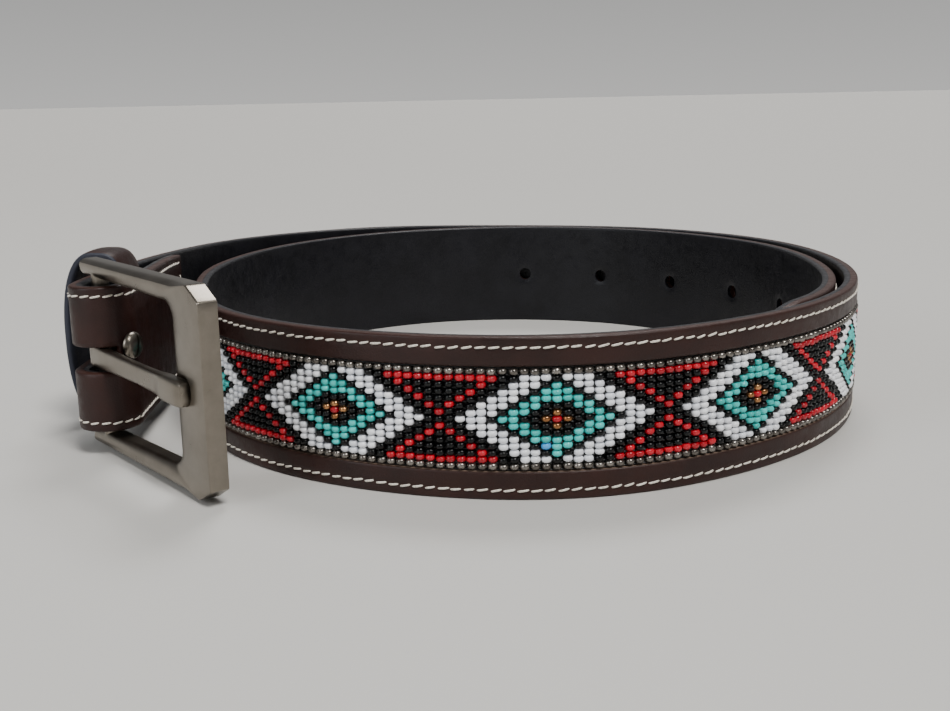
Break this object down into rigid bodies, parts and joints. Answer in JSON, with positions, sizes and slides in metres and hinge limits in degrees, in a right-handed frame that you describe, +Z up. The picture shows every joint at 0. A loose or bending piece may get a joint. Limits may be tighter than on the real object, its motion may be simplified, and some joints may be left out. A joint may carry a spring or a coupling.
{
  "type": "beaded belt",
  "caption": "Leather belt with a woven glass bead panel, square metal buckle, keeper loop and adjusting holes, coiled and standing on its edge.",
  "frame": {"origin": "on the surface that the coil stands on, below the middle of the coiled belt's outline seen from above", "axes": "+Z up from that surface, -Y towards the outer turn's bead panel in front, -X towards the buckle end"},
  "size_m": [0.2322, 0.241, 0.0509],
  "materials": {
    "brown_leather": "satin",
    "black_leather": "satin",
    "glass_beads": "gloss",
    "keeper_leather": "satin",
    "screw_metal": "satin",
    "buckle_metal": "satin",
    "tongue_metal": "satin"
  },
  "bodies": {
    "belt": {"strap_top": "brown_leather", "strap_lining": "black_leather", "bead_band": "glass_beads", "keeper_loop": "keeper_leather", "chape_screw": "screw_metal"},
    "buckle": {"buckle_frame": "buckle_metal"},
    "tongue": {"buckle_tongue": "tongue_metal"}
  },
  "joints": [
    {"name": "buckle_swing", "type": "hinge", "parent": "belt", "child": "buckle", "pos_m": [-0.09663, -0.06958, 0.0259], "axis": [0, 0, 1], "range_deg": [-100, 6]},
    {"name": "tongue_swing", "type": "hinge", "parent": "buckle", "child": "tongue", "pos_m": [-0.09663, -0.06958, 0.0259], "axis": [0, 0, 1], "range_deg": [-60, 0]}
  ]
}
